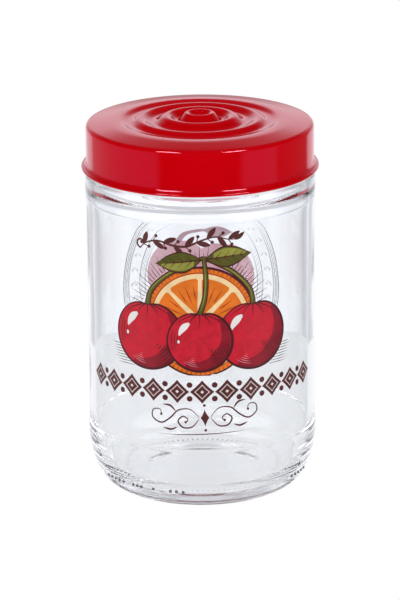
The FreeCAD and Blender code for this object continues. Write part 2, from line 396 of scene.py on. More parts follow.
# %% [markdown]
# ## The thread lugs
#
# Four short lugs on the neck hold the lid.  They are hidden while the lid is on, so each is
# only a short turned bar with a chamfered outside.

# %% Lugs
LUG_ANGLE = math.radians(48)
LUG_THICK, LUG_CHAMFER, LUG_ROOT = 1.8 * MM, 0.2 * MM, 1.0 * MM
lug_low = RIM - 10.5 * MM
lug_in, lug_out = NECK_R - LUG_ROOT, NECK_R + 1.15 * MM
lug_section = [(lug_in, lug_low), (lug_out - LUG_CHAMFER, lug_low),
               (lug_out, lug_low + LUG_CHAMFER), (lug_out, lug_low + LUG_THICK / 2),
               (lug_in, lug_low + LUG_THICK)]

BAR_STEPS = 16
quarter_turns = [math.pi / 2 * i for i in range(4)]
neck_lugs = copied_round(
    turned("neck_lugs", lug_section, [(LUG_ANGLE, BAR_STEPS)], capped=True), quarter_turns)
report(neck_lugs)

# %% [markdown]
# ## The lid
#
# The lid is one thin moulding.  Its top steps up in ripples to a boss with a dimple, falls away
# outside the last crest in arcs that steepen, and the skirt ends in a small flared lip.  Glossy
# plastic shows every flat, so the ripples are S curves with no straight facets, and the section
# is spun in many steps.

# %% Lid section
# Each place on the top is a radius and its rise over the lid's edge.
DIMPLE_R, DIMPLE_RISE = 2.2 * MM, 2.3 * MM
BOSS_R, BOSS_RISE = 5.0 * MM, 3.8 * MM
BOSS_FOOT_R, BOSS_FOOT_RISE, BOSS_FLANK_ROUND = 8.5 * MM, 0.65 * MM, 1.0 * MM
CRESTS = [(12.6 * MM, 2.75 * MM), (22.7 * MM, 1.80 * MM), (31.5 * MM, 1.15 * MM)]
TROUGH_LEAD, TROUGH_RISE = 4.8 * MM, 0.30 * MM      # how far each trough lies inside its crest
CROWN = [(33 * MM, 7.0), (480 * MM, 7.8), (3 * MM, 25.0)]   # each arc's radius and end tilt
LIP_THICK = 1.1 * MM
FLARE = 1.7 * MM
INNER_ROUND = 1.7 * MM
UNDER_STEP, SEAT_WIDTH = 0.45 * MM, 1.6 * MM        # the underside is let in beyond its seat
HOLLOW_R, HOLLOW_RISE = 3.4 * MM, 1.95 * MM         # under the boss
lip_top = LID_LOW + LIP_THICK
seat_r = bore - SEAT_WIDTH

lid_section = Outline(0, LID_EDGE + DIMPLE_RISE)
lid_section.line(DIMPLE_R, LID_EDGE + DIMPLE_RISE, pitch=0.6 * MM)
lid_section.wave(BOSS_R, LID_EDGE + BOSS_RISE, pitch=0.2 * MM)
lid_section.slope(BOSS_FOOT_R, LID_EDGE + BOSS_FOOT_RISE, BOSS_FLANK_ROUND)
for number, (radius, rise) in enumerate(CRESTS):
    if number:
        lid_section.wave(radius - TROUGH_LEAD, LID_EDGE + TROUGH_RISE)
    lid_section.wave(radius, LID_EDGE + rise)
crown_r, crown_z = lid_section.points[-1]
tilt = 0.0
for radius, end_tilt in CROWN:
    end_tilt = math.radians(end_tilt)
    crown_r += radius * (math.sin(end_tilt) - math.sin(tilt))
    crown_z -= radius * (math.cos(tilt) - math.cos(end_tilt))
    lid_section.arc(crown_r, crown_z, radius, -1, pitch=0.4 * MM)
    tilt = end_tilt
edge_round = (SKIRT_R - crown_r) / (1 - math.sin(tilt))
lid_section.arc(SKIRT_R, crown_z - edge_round * math.cos(tilt), edge_round, -1,
                pitch=0.15 * MM)
lid_section.line(SKIRT_R, lip_top + FLARE, pitch=2 * MM)
lid_section.arc(SKIRT_R + FLARE, lip_top, FLARE, 1, pitch=0.25 * MM)
lid_section.line(LIP_R - LIP_THICK / 2, lip_top, pitch=0.5 * MM)
lid_section.arc(LIP_R, lip_top - LIP_THICK / 2, LIP_THICK / 2, -1, pitch=0.15 * MM)
lid_section.arc(LIP_R - LIP_THICK / 2, LID_LOW, LIP_THICK / 2, -1, pitch=0.15 * MM)
lid_section.line(SKIRT_R - SKIRT_WALL, LID_LOW, pitch=0.8 * MM)
lid_section.line(SKIRT_R - SKIRT_WALL, RIM - INNER_ROUND)
lid_section.arc(SKIRT_R - SKIRT_WALL - INNER_ROUND, RIM, INNER_ROUND, 1, pitch=0.5 * MM)
lid_section.line(seat_r, RIM)
lid_section.line(seat_r, RIM + UNDER_STEP)
lid_section.line(HOLLOW_R, RIM + UNDER_STEP)
lid_section.line(HOLLOW_R, RIM + HOLLOW_RISE)
lid_section.line(0, RIM + HOLLOW_RISE)

# %% Spin the lid
LID_STEPS = 288
lid_cap = turned("lid_cap", lid_section.points, [(2 * math.pi, LID_STEPS)])
bpy.ops.object.shade_smooth_by_angle(angle=math.radians(35))
report(lid_cap)

GRIP_ANGLE = math.radians(26)
GRIP_PLAY, GRIP_THICK = 0.3 * MM, 1.8 * MM          # the gap under a lug, and the root's height
grip_top = lug_low - GRIP_PLAY
grip_in, grip_out = NECK_R + 0.4 * MM, SKIRT_R - 0.6 * MM
grip_section = [(grip_in, grip_top - GRIP_THICK / 2), (grip_out, grip_top - GRIP_THICK),
                (grip_out, grip_top), (grip_in, grip_top)]
lid_grips = copied_round(
    turned("lid_grips", grip_section, [(GRIP_ANGLE, BAR_STEPS)], capped=True), quarter_turns)
report(lid_grips)

# %% [markdown]
# ## Materials
#
# Each finish is a small node tree on object coordinates.  Helpers build the parts that all of
# them share: a noise in real size, ramped between two values or colours.

# %% Node helpers
def new_material(name):
    material = bpy.data.materials.new(name)
    material.use_nodes = True
    tree = material.node_tree
    return material, tree, tree.nodes["Principled BSDF"]


def noise(tree, size, detail=2.0, stretch=(1, 1, 1)):
    """Noise whose patches are about `size` metres across."""
    place = tree.nodes.new("ShaderNodeTexCoord")
    mapping = tree.nodes.new("ShaderNodeMapping")
    mapping.inputs["Scale"].default_value = stretch
    pattern = tree.nodes.new("ShaderNodeTexNoise")
    pattern.inputs["Scale"].default_value = 1 / size
    pattern.inputs["Detail"].default_value = detail
    tree.links.new(place.outputs["Object"], mapping.inputs["Vector"])
    tree.links.new(mapping.outputs["Vector"], pattern.inputs["Vector"])
    return pattern.outputs["Fac"]


def ramp(tree, value, colours):
    """The first colour where noise is low, the second where it is high."""
    node = tree.nodes.new("ShaderNodeValToRGB")
    for element, position, colour in zip(node.color_ramp.elements, (0.35, 0.65), colours):
        element.position = position
        element.color = (*colour, 1)
    tree.links.new(value, node.inputs["Fac"])
    return node.outputs["Color"]


def mapped(tree, value, low, high, at_low, at_high, steps="LINEAR"):
    """Goes from at_low to at_high as the value goes from low to high."""
    node = tree.nodes.new("ShaderNodeMapRange")
    node.interpolation_type = steps
    for name, number in (("From Min", low), ("From Max", high),
                         ("To Min", at_low), ("To Max", at_high)):
        node.inputs[name].default_value = number
    tree.links.new(value, node.inputs["Value"])
    return node.outputs["Result"]


def spread(tree, value, low, high):
    return mapped(tree, value, 0.3, 0.7, low, high)


def bumped(tree, shader, value, distance, strength=1.0):
    node = tree.nodes.new("ShaderNodeBump")
    node.inputs["Distance"].default_value = distance
    node.inputs["Strength"].default_value = strength
    tree.links.new(value, node.inputs["Height"])
    tree.links.new(node.outputs["Normal"], shader.inputs["Normal"])


def linear(red, green, blue):
    """The linear colour that a screen shows as these 0 to 255 values."""
    def one(value):
        value /= 255
        return value / 12.92 if value <= 0.04045 else ((value + 0.055) / 1.055) ** 2.4
    return one(red), one(green), one(blue)


# %% Glass and lid plastic
GLASS_IOR = 1.5
pressed_glass, tree, shader = new_material("pressed_glass")
shader.inputs["Base Color"].default_value = (0.985, 0.992, 1.0, 1)
shader.inputs["Transmission Weight"].default_value = 1.0
shader.inputs["IOR"].default_value = GLASS_IOR
tree.links.new(spread(tree, noise(tree, 0.03), 0.0, 0.02), shader.inputs["Roughness"])
bumped(tree, shader, noise(tree, 0.022, 1.0, (1, 1, 0.45)), 0.00012)

# The dots' glass is painted dark grey and half clear: painted shade that stands in for the dark
# sides of round glass dots.
dot_glass_painted_shade, tree, shader = new_material("dot_glass_painted_shade")     # round dots look dark at their sides
shader.inputs["Base Color"].default_value = (0.22, 0.23, 0.25, 1)
shader.inputs["Transmission Weight"].default_value = 0.4
shader.inputs["IOR"].default_value = GLASS_IOR
tree.links.new(spread(tree, noise(tree, 0.002), 0.1, 0.3), shader.inputs["Roughness"])

red_plastic, tree, shader = new_material("red_plastic")
tree.links.new(ramp(tree, noise(tree, 0.035), (linear(201, 0, 6), linear(207, 0, 12))),
               shader.inputs["Base Color"])
shader.inputs["Specular Tint"].default_value = (1.0, 0.4, 0.95, 1)
tree.links.new(spread(tree, noise(tree, 0.012, 3.0), 0.05, 0.085), shader.inputs["Roughness"])
bumped(tree, shader, noise(tree, 0.0016), 0.00001, 0.35)

for piece, material in ((jar_glass, pressed_glass), (heel_dots, dot_glass_painted_shade),
                        (foot_ribs, pressed_glass), (neck_lugs, pressed_glass),
                        (lid_cap, red_plastic), (lid_grips, red_plastic)):
    piece.data.materials.clear()
    piece.data.materials.append(material)
    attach(piece, "root")
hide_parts("jar")
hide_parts("lid")

# %% [markdown]
# ## Inks
#
# Fired enamel is satin, a little uneven in depth where the screen laid less of it, and has a
# fine grain.  Its back, seen through the jar, is paler and duller than its face, and carries a
# painted glow, a small emission that stands in for the light that the jar gathers inside.

# %% Ink materials
def enamel(name, colour, unevenness, roughness=(0.28, 0.42)):
    material, tree, shader = new_material(name)
    deep = [channel * (1 - unevenness) for channel in colour]
    pale = [channel * (1 + unevenness) for channel in colour]
    tree.links.new(ramp(tree, noise(tree, 0.004, 4.0), (deep, pale)), shader.inputs["Base Color"])
    tree.links.new(spread(tree, noise(tree, 0.002, 2.0), *roughness), shader.inputs["Roughness"])
    bumped(tree, shader, noise(tree, 0.0007, 2.0), 0.00001, 0.6)
    return material


INK_COLOURS = {
    "red": (206, 4, 40), "deep_red": (150, 8, 36), "maroon": (84, 26, 34),
    "pink": (232, 130, 140), "orange": (232, 116, 8), "rust": (172, 58, 14),
    "cream": (244, 214, 160), "white": (240, 234, 232), "olive": (92, 92, 28),
    "light_olive": (150, 150, 60), "brown": (96, 44, 44),
}
inks = {ink: enamel("enamel_" + ink, linear(*colour), 0.03 if ink == "white" else 0.10)
        for ink, colour in INK_COLOURS.items()}
backs = {
    "red": enamel("enamel_back_mauve", linear(252, 203, 212), 0.04, (0.5, 0.6)),
    "deep_red": enamel("enamel_back_plum", linear(244, 186, 198), 0.04, (0.5, 0.6)),
    "other": enamel("enamel_back_grey", linear(214, 198, 202), 0.04, (0.5, 0.6)),
}
# The backs carry a painted glow: a small emission that stands in for the light gathered inside the
# jar.
BACK_PAINTED_GLOW = 0.22
for material in backs.values():
    shader = material.node_tree.nodes["Principled BSDF"]
    shader.inputs["Emission Color"].default_value = (*linear(236, 178, 190), 1)
    shader.inputs["Emission Strength"].default_value = BACK_PAINTED_GLOW
print(len(inks), "inks")

# %% [markdown]
# ## The print
#
# The colours on such a jar are ceramic inks, screened on one after another and fired.  Each
# ink is a thin raised film with a clean edge.  A film could be painted in the glass material,
# but real film catches the light at its edge and shows a dull back through the jar, so it is
# modelled: outlines are drawn flat on an artboard, one layer over the other, then the board is
# cut into narrow strips and bent round the jar.
#
# The board is measured in millimetres: x runs round the panel to the right, z is the height.

# %% Lines for the artboard
ARC_PITCH = 0.7


def flowing(points, pitch=0.6):
    """Points about `pitch` apart on a smooth curve through the given points."""
    last = len(points) - 1
    dense = []
    for i in range(last):
        before, start, end, after = (points[min(max(i + k, 0), last)] for k in (-1, 0, 1, 2))
        steps = max(1, round(math.dist(start, end) / pitch))
        for step in range(steps):
            t = step / steps
            dense.append(tuple(
                0.5 * (2 * b + (c - a) * t + (2 * a - 5 * b + 4 * c - d) * t ** 2
                       + (3 * b - a - 3 * c + d) * t ** 3)
                for a, b, c, d in zip(before, start, end, after)))
    dense.append(tuple(points[-1]))
    return dense


def around(x, z, radius, start=0.0, stop=360.0, end_radius=None):
    """Points on an arc, in degrees, or on a spiral if it ends at another radius."""
    end_radius = radius if end_radius is None else end_radius
    count = max(6, round(radius * math.radians(abs(stop - start)) / ARC_PITCH))
    points = []
    for i in range(count + 1):
        angle = math.radians(start + (stop - start) * i / count)
        reach = radius + (end_radius - radius) * i / count
        points.append((x + reach * math.cos(angle), z + reach * math.sin(angle)))
    return points


def brushed(path, width, start=0.15, end=0.15, belly=0.5):
    """Outline of a stroke that swells from its start to its belly and thins to its end."""
    left, right = [], []
    last = len(path) - 1
    for i, (x, z) in enumerate(path):
        (x0, z0), (x1, z1) = path[max(i - 1, 0)], path[min(i + 1, last)]
        length = math.dist((x0, z0), (x1, z1)) or 1
        share = i / last
        if share < belly:
            swell = start + (1 - start) * math.sin(math.pi / 2 * share / belly)
        else:
            swell = end + (1 - end) * math.sin(math.pi / 2 * (1 - share) / (1 - belly))
        half = width * swell / 2
        across = (-(z1 - z0) / length * half, (x1 - x0) / length * half)
        left.append((x + across[0], z + across[1]))
        right.append((x - across[0], z - across[1]))
    return left + right[::-1]


def spoke(x, z, radius, degrees, shares):
    """Points on a line out of (x, z), each at a share of the radius."""
    angle = math.radians(degrees)
    return [(x + radius * share * math.cos(angle), z + radius * share * math.sin(angle))
            for share in shares]


def turned_about(points, x, z, degrees):
    sine, cosine = math.sin(math.radians(degrees)), math.cos(math.radians(degrees))
    return [(x + (px - x) * cosine - (pz - z) * sine, z + (px - x) * sine + (pz - z) * cosine)
            for px, pz in points]


class Artboard:
    """Filled outlines, each with its ink and layer."""

    def __init__(self):
        self.shapes = []

    def fill(self, ink, layer, outline):
        self.shapes.append((ink, layer, outline))

    def stroke(self, ink, layer, path, width, **ends):
        """A brush stroke; its ends are the start, end and belly of `brushed`."""
        self.fill(ink, layer, brushed(path, width, **ends))

    def dot(self, x, z, radius):
        """A round brown dot on the lowest layer."""
        self.fill("brown", 0, around(x, z, radius))

    def moved(self, x, z, degrees):
        """A copy of the board, turned about its origin and moved."""
        other = Artboard()
        for ink, layer, outline in self.shapes:
            leaning = turned_about(outline, 0, 0, degrees)
            other.fill(ink, layer, [(px + x, pz + z) for px, pz in leaning])
        return other

    def add(self, other):
        self.shapes += other.shapes


# %% [markdown]
# ### The fruit
#
# The picture is a plain fruit garnish: three cherries on one stalk in front of a cut orange,
# shaded with engraver's lines.

# %% Cherries
def cherry(board, x, z, radius, layer):
    """A cherry with a dent for its stalk, shaded at the lower right, lit at the upper left."""
    body = []
    for degrees in range(0, 360, 5):
        angle = math.radians(degrees)
        dent = math.exp(-((degrees - 90) / 17) ** 2)
        reach = radius * (1 + 0.025 * math.cos(2 * angle) - 0.09 * dent)
        body.append((x + reach * math.cos(angle), z + reach * math.sin(angle)))
    board.fill("red", layer, body)

    outer = around(x, z, radius * 0.985, -118, 48)
    inner = around(x - radius * 0.26, z + radius * 0.24, radius * 0.93, 30, -100)
    board.fill("deep_red", layer + 1, outer + inner)

    rim = [(x + (px - x) * 0.985, z + (pz - z) * 0.985) for px, pz in body]
    start = 27                                    # the line is thinnest at the upper left
    rim = rim[start:] + rim[:start + 1]
    board.stroke("maroon", layer + 2, rim, 1.05, start=0.4, end=0.4, belly=0.52)

    def hatched(ink, count, reach, inward, start, stop, closing, width, belly=0.5):
        """Arcs one inside the other, each shorter than the last."""
        for number in range(count):
            path = around(x, z, radius * (reach - inward * number),
                          start + closing[0] * number, stop - closing[1] * number)
            board.stroke(ink, layer + 2, path, width, start=0.1, end=0.1, belly=belly)

    hatched("maroon", 7, 0.90, 0.085, -78, 12, (5, 8), 0.42, belly=0.45)
    hatched("maroon", 4, 0.88, 0.09, 152, 205, (5, 6), 0.3)
    for number in range(5):                       # lines that fall into the stalk's dent
        lean = (number - 2) * 0.16
        board.stroke("maroon", layer + 2,
                     flowing([(x + radius * lean * 0.5, z + radius * 0.86),
                              (x + radius * lean * 1.4, z + radius * 0.74),
                              (x + radius * lean * 2.1,
                               z + radius * (0.50 + 0.04 * abs(number - 2)))]),
                     0.42, start=1.0, end=0.1, belly=0.02)
    board.stroke("white", layer + 2, around(x, z, radius * 0.66, 164, 118), radius * 0.2,
                 start=0.2, end=0.3, belly=0.6)
    board.fill("white", layer + 2, around(x - radius * 0.66, z - radius * 0.02, radius * 0.055))
    hatched("pink", 5, 0.82, 0.06, -128, -92, (4, 4), 0.26)     # light lines in the lower shade


def stalk(board, layer, points, width=1.3):
    path = flowing(points)
    board.stroke("maroon", layer, path, width + 0.75, start=1.15, end=0.8)
    board.stroke("olive", layer + 1, path, width, start=1.15, end=0.7)
    board.stroke("light_olive", layer + 2, [(px - 0.18, pz + 0.1) for px, pz in path[2:-2]],
                 width * 0.3, start=0.3, end=0.2)


def leaf(board, layer, root, tip, width):
    """A pointed leaf with a midrib and side veins, from root to tip."""
    length = math.dist(root, tip)
    degrees = math.degrees(math.atan2(tip[1] - root[1], tip[0] - root[0]))
    half = [(0, 0), (0.18, 0.30), (0.42, 0.5), (0.68, 0.38), (0.88, 0.14), (1, 0)]

    def placed(points):
        flat = [(root[0] + u * length, root[1] + v * width) for u, v in points]
        return turned_about(flat, *root, degrees)

    upper = placed(flowing(half, pitch=0.05))
    lower = placed(flowing([(u, -v * 0.9) for u, v in half], pitch=0.05))
    board.fill("olive", layer, upper + lower[::-1])
    board.fill("light_olive", layer + 1,
               placed(flowing([(u, v * 0.82) for u, v in half[1:-1]], pitch=0.05)
                      + [(0.86, 0.02), (0.16, 0.02)]))
    for side in (upper, lower):
        board.stroke("maroon", layer + 2, side, 0.5, start=0.5, end=0.2)
    board.stroke("maroon", layer + 2, placed([(0, 0), (0.5, 0.02), (1, 0)]), 0.5,
                 start=1, end=0.1, belly=0.05)
    for number in range(4):
        at = 0.2 + 0.18 * number
        for way_up in (1, -1):
            board.stroke("maroon", layer + 2,
                         placed([(at, 0), (at + 0.09, 0.16 * way_up), (at + 0.16, 0.27 * way_up)]),
                         0.3, start=1, end=0.1, belly=0.05)


# %% Orange wheel
def orange_wheel(board, x, z, radius, layer):
    """A slice with its rind, eight wedges and the fine lines of their flesh."""
    board.fill("orange", layer, around(x, z, radius))
    board.fill("cream", layer + 1, around(x, z, radius * 0.885))
    wedges = 8
    for number in range(wedges):
        middle = 360 / wedges * (number + 0.5)
        half = 180 / wedges - 2.2
        tip_x, tip_z = spoke(x, z, radius, middle, [0.13])[0]
        rim = around(x, z, radius * 0.80, middle - half, middle + half)

        def cut_side(corner, shares):
            return [(tip_x + (corner[0] - tip_x) * share, tip_z + (corner[1] - tip_z) * share)
                    for share in shares]

        board.fill("orange", layer + 2,
                   [(tip_x, tip_z)] + cut_side(rim[0], (0.55, 0.94)) + rim[1:-1]
                   + cut_side(rim[-1], (0.94, 0.55)))
        for lean in (-0.6, 0.0, 0.55):
            board.stroke("rust", layer + 3,
                         spoke(x, z, radius, middle + half * lean,
                               (0.34 + 0.12 * abs(lean), 0.5, 0.68)),
                         0.55, start=0.1, end=0.2, belly=0.7)
    board.stroke("maroon", layer + 3, around(x, z, radius, -80, 281), 0.95, start=0.6, end=0.6)
    board.stroke("rust", layer + 3, around(x, z, radius * 0.90, -80, 281), 0.32,
                 start=0.8, end=0.8)
    for number in range(72):
        board.stroke("rust", layer + 3,
                     spoke(x, z, radius, number * 5, (0.985, 0.955, 0.925 - 0.01 * (number % 2))),
                     0.34, start=1, end=0.2, belly=0.1)


# %% Picture
picture = Artboard()
WHEEL_X, WHEEL_Z = -0.5, 78.0
orange_wheel(picture, WHEEL_X, WHEEL_Z, 21.5, 0)
cherry(picture, -21.2, 71.6, 14.0, 4)
cherry(picture, 20.2, 71.6, 14.0, 4)
cherry(picture, -0.7, 70.2, 12.4, 7)
STALK_TOP = (1.0, 103.4)
stalk(picture, 10, [(-21.2, 84.0), (-19.0, 90.5), (-11, 97.5), STALK_TOP])
stalk(picture, 10, [(20.2, 84.0), (18.6, 90.5), (11.5, 97.8), STALK_TOP])
stalk(picture, 10, [(-0.7, 81.0), (1.2, 87), (1.8, 95), STALK_TOP])
leaf(picture, 13, (0.2, 102.6), (-17.5, 100.4), 8.5)
leaf(picture, 13, (1.8, 102.8), (19.5, 104.2), 8.5)

uneven = random.Random(4)
RAY_START = 23.6
for number in range(47):                          # rays over the wheel
    ray_end = 26.6 + 2.6 * (number % 2) + uneven.uniform(0, 1.4)
    picture.stroke("maroon", 0,
                   spoke(WHEEL_X, WHEEL_Z, 1, 12 + number * 3.4,
                         (RAY_START, (RAY_START + ray_end) / 2, ray_end)),
                   0.3, start=1, end=0.2, belly=0.1)
for side in (-1, 1):                              # level lines of ground beside the cherries
    for number in range(8):
        height = 58.6 + number * 1.05
        start = 27.5 + 0.9 * number
        length = 9.5 - 0.75 * number + uneven.uniform(-0.8, 0.8)
        picture.stroke("maroon", 0,
                       [(side * (start + length * share), height) for share in (0, 0.5, 1)],
                       0.28, start=0.6, end=0.1)
print("picture:", len(picture.shapes), "shapes")

# %% [markdown]
# ### Bands and scrolls
#
# A leafy sprig runs over the picture, and a heavy chain of lozenges and a pen scroll under it,
# the usual fillers of old labels.  They carry no words.

# %% Chain of lozenges
chain = Artboard()
CHAIN_Z, CHAIN_PITCH = 50.0, 9.6
NESTED = [("brown", 4.7, 0.12), ("white", 3.0, 0.10), ("brown", 2.6, 0.10), ("white", 0.75, 0.3)]


def lozenge(x, z, wide, high, waist):
    """Four points joined by hollow sides."""
    corners = [(x + wide, z), (x, z + high), (x - wide, z), (x, z - high)]
    outline = []
    for (x0, z0), (x1, z1) in zip(corners, corners[1:] + corners[:1]):
        bend = ((x0 + x1) / 2 * (1 - waist) + x * waist, (z0 + z1) / 2 * (1 - waist) + z * waist)
        for step in range(6):
            t = step / 6
            outline.append(((1 - t) ** 2 * x0 + 2 * t * (1 - t) * bend[0] + t * t * x1,
                            (1 - t) ** 2 * z0 + 2 * t * (1 - t) * bend[1] + t * t * z1))
    return outline


for number in range(-5, 6):
    x = number * CHAIN_PITCH
    for layer, (ink, half, waist) in enumerate(NESTED):
        chain.fill(ink, layer, lozenge(x, CHAIN_Z, half, half, waist))
    if number < 5:
        between = x + CHAIN_PITCH / 2
        for up in (-1, 1):
            chain.dot(between, CHAIN_Z + up * 2.75, 1.15)
print("chain:", len(chain.shapes), "shapes")

# %% Sprig and scroll
sprig = Artboard()
stem = flowing([(-18.6, -1.5), (-16, 0.6), (-11, 1.3), (-5.5, -0.6), (0, -1.3), (5.5, 0.5),
                (11, 1.4), (16, -0.2), (19.2, -0.6)])
sprig.stroke("brown", 0, stem, 0.85, start=0.5, end=0.35, belly=0.4)
sprig.stroke("brown", 0, around(-18.2, 0.6, 2.2, 262, 20, end_radius=0.8), 0.8, start=0.9, end=0.6)
sprig.dot(-17.9, 0.7, 0.75)
LEAF_PLACES = 9
for number in range(LEAF_PLACES):
    at = 4 + round((len(stem) - 10) * number / (LEAF_PLACES - 1))
    (x, z), (x_next, z_next) = stem[at], stem[at + 2]
    heading = math.degrees(math.atan2(z_next - z, x_next - x))
    up = (-1) ** number
    leaf_path = turned_about(flowing([(x, z), (x + 1.9, z + 1.5 * up), (x + 4.3, z + 3.3 * up)]),
                             x, z, heading)
    sprig.stroke("brown", 0, leaf_path, 2.1, start=0.15, end=0.05, belly=0.5)
    berry = turned_about([(x + 1.5, z - 1.9 * up)], x, z, heading)[0]
    sprig.dot(*berry, 0.72)
    sprig.stroke("brown", 0, [(x, z), ((x + berry[0]) / 2, (z + berry[1]) / 2), berry], 0.4,
                 start=0.8, end=0.8)
sprig.stroke("brown", 0, flowing([(18.2, -0.5), (20.4, 0.2), (22.6, 1.6)]), 1.9, start=0.2,
             end=0.05, belly=0.45)
upper_sprig = sprig.moved(-5.5, 109.0, 5.0)

PEN_STROKES = [                                   # points, width, and widths at start and end
    ([(2.2, 0.2), (5.5, 3.6), (10, 3.4), (13.5, 0.2), (17.2, -1.8), (20.6, 0.2), (20.2, 3.2),
      (17.6, 3.6), (16.8, 1.8)], 0.62, 0.3, 0.5),
    ([(2.2, -0.2), (5.0, -3.4), (8.6, -3.6), (10.4, -1.0), (8.4, 0.9), (6.6, -0.4),
      (7.4, -1.6)], 0.62, 0.3, 0.6),
    ([(11.2, 2.9), (13.2, 5.2), (16.2, 5.6)], 0.8, 0.2, 0.1),
    ([(10.9, -3.4), (13.4, -4.4), (16.6, -3.6)], 0.8, 0.2, 0.1),
]
pen = Artboard()
for side in (-1, 1):
    for points, width, start, end in PEN_STROKES:
        path = [(side * px, pz) for px, pz in flowing(points, pitch=0.5)]
        pen.stroke("brown", 0, path, width, start=start, end=end)
    pen.dot(side * 17.0, 1.6, 0.55)
    pen.dot(side * 7.5, -1.5, 0.55)
pen.fill("brown", 0, lozenge(0, 0, 1.7, 3.4, 0.25))
pen.dot(0, 5.0, 0.6)
pen.dot(0, -5.0, 0.6)
lower_scroll = pen.moved(1.0, 39.6, 2.5)
lower_scroll.stroke("brown", 0, [(-17, 32.5), (-8, 32.7), (1, 33.0), (10, 33.3), (17.5, 33.6)], 0.4,
                    start=0.2, end=0.1)

front_print = Artboard()
for board in (picture, chain, upper_sprig, lower_scroll):
    front_print.add(board)

back_print = Artboard()
cherry(back_print, -9.6, 71.5, 13.2, 0)
cherry(back_print, 9.9, 73.0, 13.0, 3)
stalk(back_print, 6, [(-9.6, 82.8), (-7.2, 86.8), (-1.2, 90.4)], 1.4)
stalk(back_print, 6, [(9.9, 84.2), (6.2, 88.2), (-1.2, 90.4)], 1.4)
leaf(back_print, 9, (-1.0, 90.2), (-13.4, 88.6), 6.5)

# %% [markdown]
# ### From artboard to film
#
# A 2D curve fills itself, so each outline is a closed curve.  All curves become one flat mesh,
# bisected every millimetre and a half so that it can follow the cylinder, and a Simple Deform
# modifier bends it.  Then each ink is split off and given its thickness.

# %% Film on the glass
FILM_GAP, FILM_PITCH, FILM_THICK = 0.02 * MM, 0.02 * MM, 0.012 * MM
STRIP = 1.5 * MM


def film(board, prefix, half_turn):
    """The board as bent, thin pieces of ink, one for each ink: {ink: object}."""
    select_none()
    flats = []
    for ink, layer, outline in board.shapes:
        line = bpy.data.curves.new("outline", "CURVE")
        line.dimensions = "2D"
        line.fill_mode = "BOTH"
        spline = line.splines.new("POLY")
        spline.points.add(len(outline) - 1)
        for point, (px, pz) in zip(spline.points, outline):
            point.co = (px * MM, pz * MM, 0, 1)
        spline.use_cyclic_u = True
        line.materials.append(inks[ink])
        flat = bpy.data.objects.new("outline", line)
        flat.rotation_euler = (math.pi / 2, 0, 0)
        flat.location = (0, -FILM_GAP - layer * FILM_PITCH, 0)
        bpy.context.scene.collection.objects.link(flat)
        flat.select_set(True)
        flats.append(flat)
    bpy.context.view_layer.objects.active = flats[0]
    bpy.ops.object.convert(target="MESH")
    bpy.ops.object.transform_apply()
    bpy.ops.object.join()
    sheet = bpy.context.object

    xs = [vertex.co.x for vertex in sheet.data.vertices]
    bpy.ops.object.mode_set(mode="EDIT")
    for number in range(math.floor(min(xs) / STRIP) + 1, math.ceil(max(xs) / STRIP)):
        bpy.ops.mesh.select_all(action="SELECT")
        bpy.ops.mesh.bisect(plane_co=(number * STRIP, 0, 0), plane_no=(1, 0, 0))
    bpy.ops.object.mode_set(mode="OBJECT")

    bend = sheet.modifiers.new("Wrap", "SIMPLE_DEFORM")
    bend.deform_method = "BEND"
    bend.deform_axis = "Z"
    bend.angle = (max(xs) - min(xs)) / PANEL_R
    bpy.ops.object.modifier_apply(modifier=bend.name)
    sheet.location = (0, -PANEL_R, 0)
    bpy.ops.object.transform_apply()
    sheet.rotation_euler = (0, 0, math.pi if half_turn else 0)
    bpy.ops.object.transform_apply()

    bpy.ops.object.mode_set(mode="EDIT")
    bpy.ops.mesh.select_all(action="SELECT")
    bpy.ops.mesh.separate(type="MATERIAL")
    bpy.ops.object.mode_set(mode="OBJECT")
    pieces = {}
    for piece in list(bpy.context.selected_objects):
        ink = next(name for name, material in inks.items()
                   if material == piece.data.materials[0])
        piece.name = piece.data.name = prefix + ink
        inward = [face.normal.dot(Vector((face.center.x, face.center.y, 0))) < 0
                  for face in piece.data.polygons]
        if any(inward):
            bpy.context.view_layer.objects.active = piece
            piece.data.polygons.foreach_set("select", inward)
            bpy.ops.object.mode_set(mode="EDIT")
            bpy.ops.mesh.flip_normals()
            bpy.ops.object.mode_set(mode="OBJECT")
        pieces[ink] = piece
    for ink, piece in pieces.items():
        select_only(piece)
        piece.data.materials.append(backs.get(ink, backs["other"]))
        wall = piece.modifiers.new("Film", "SOLIDIFY")
        wall.thickness = FILM_THICK
        wall.offset = -1
        wall.material_offset = 1
        bpy.ops.object.modifier_apply(modifier=wall.name)
        report(piece)
        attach(piece, "root")
    return pieces


front_films = film(front_print, "front_", half_turn=False)
film(back_print, "back_", half_turn=True)
film_radii = [math.hypot(v.co.x, v.co.y) for v in front_films["brown"].data.vertices]
print("brown film radius %.3f..%.3f mm" % (min(film_radii) / MM, max(film_radii) / MM))

# %% [markdown]
# ## The studio
#
# Catalogue glass is shot on a white table in front of a white wall.  Grey cards round the table
# draw the edges of clear glass, black round the lens deepens the red of the lid, and two
# softboxes high in front, left and right, give the lid its highlights.

# %% Camera
LOOK_AT = Vector((0, 0, 0.0709))
DISTANCE = 1.5146
ELEVATION = math.radians(17.36)
ROLL = math.radians(0.526)

lens_data = bpy.data.cameras.new("camera")
camera = bpy.data.objects.new("camera", lens_data)
bpy.context.scene.collection.objects.link(camera)
camera.location = LOOK_AT + DISTANCE * Vector((0, -math.cos(ELEVATION), math.sin(ELEVATION)))
camera.rotation_mode = "QUATERNION"
camera.rotation_quaternion = (
    (LOOK_AT - camera.location).to_track_quat("-Z", "Y") @ Quaternion((0, 0, 1), -ROLL))
lens_data.lens = 233.1
lens_data.sensor_width = 36
lens_data.shift_x = -0.0023
lens_data.shift_y = 0.00865
lens_data.clip_end = 50
bpy.context.scene.camera = camera

